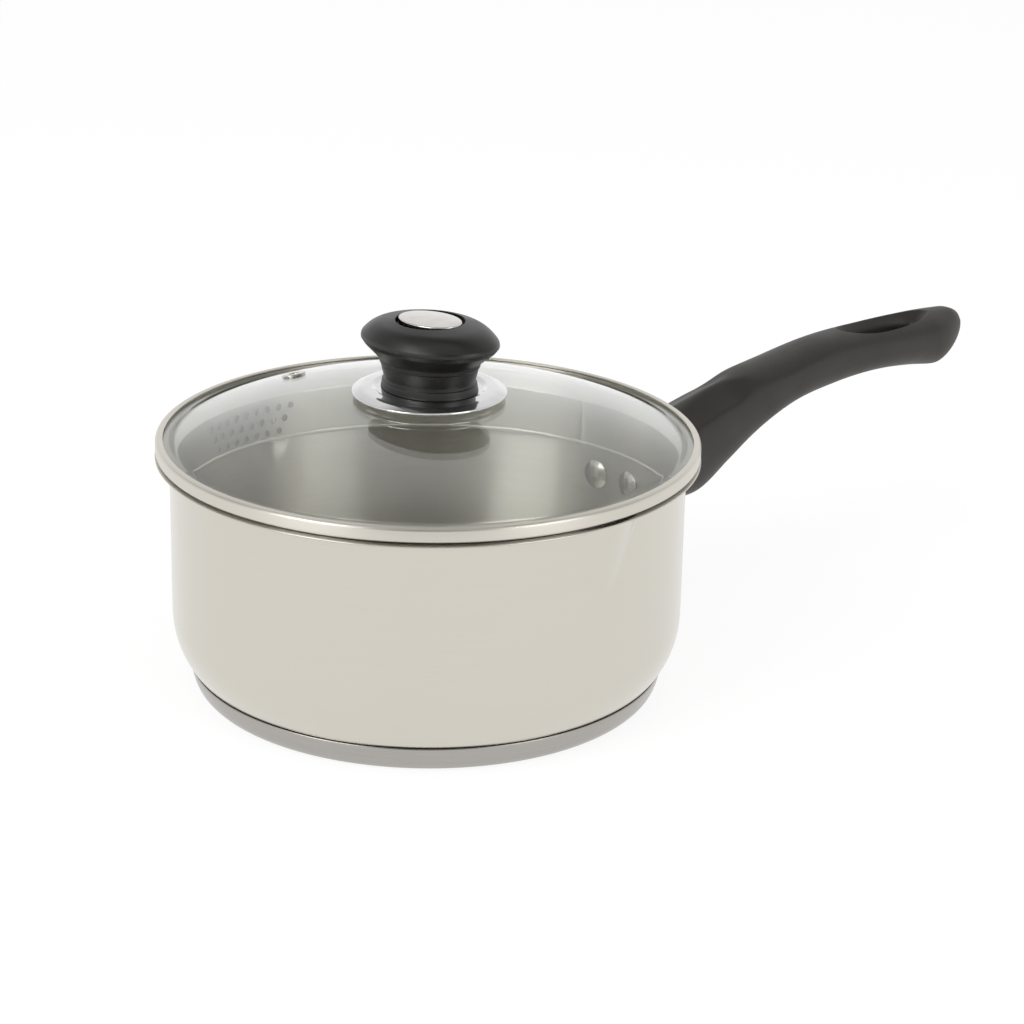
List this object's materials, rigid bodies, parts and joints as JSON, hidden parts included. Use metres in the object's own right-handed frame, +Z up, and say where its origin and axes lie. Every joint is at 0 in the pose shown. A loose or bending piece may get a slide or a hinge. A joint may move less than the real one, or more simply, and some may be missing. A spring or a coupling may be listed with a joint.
{
  "type": "saucepan with glass lid",
  "caption": "Stainless steel saucepan with long moulded handle, pouring spouts and a straining glass lid with oval knob.",
  "frame": {"origin": "centre of the standing face under the base", "axes": "+Z up, +X along the handle away from the pan, pouring spouts at +Y and -Y"},
  "size_m": [0.3793, 0.1912, 0.1341],
  "materials": {
    "polished_steel": "mirror polished stainless steel, circular brushed inside",
    "satin_steel": "satin stainless steel strip",
    "core_aluminium": "plain rolled aluminium disc",
    "bracket_steel": "plain cast and turned steel",
    "phenolic": "satin moulded phenolic",
    "clear_glass": "clear tempered glass",
    "bright_chrome": "bright pressed plate",
    "turned_brass": "turned brass",
    "silicone": "translucent silicone"
  },
  "bodies": {
    "pan": {"pan_body": "polished_steel", "base_core": "core_aluminium", "base_cap": "polished_steel", "handle_bracket": "bracket_steel", "rivet_left": "satin_steel", "rivet_right": "satin_steel", "handle_grip": "phenolic", "handle_screw": "bracket_steel"},
    "lid_axis": {"knob_screw": "bracket_steel", "knob_insert": "turned_brass", "knob_base_plate": "bright_chrome", "knob_seal_upper": "silicone", "knob_seal_lower": "silicone", "knob_lower_washer": "bracket_steel"},
    "lid": {"lid_glass": "clear_glass", "strainer_band": "satin_steel", "steam_vent": "satin_steel", "knob_grip": "phenolic", "knob_cap_disc": "satin_steel"}
  },
  "joints": [
    {"name": "lid_lift", "type": "slide", "parent": "pan", "child": "lid_axis", "axis": [0, 0, 1], "range_m": [0, 0.12]},
    {"name": "lid_turn", "type": "hinge", "parent": "lid_axis", "child": "lid", "pos_m": [0, 0, 0.09], "axis": [0, 0, 1], "continuous": true}
  ]
}
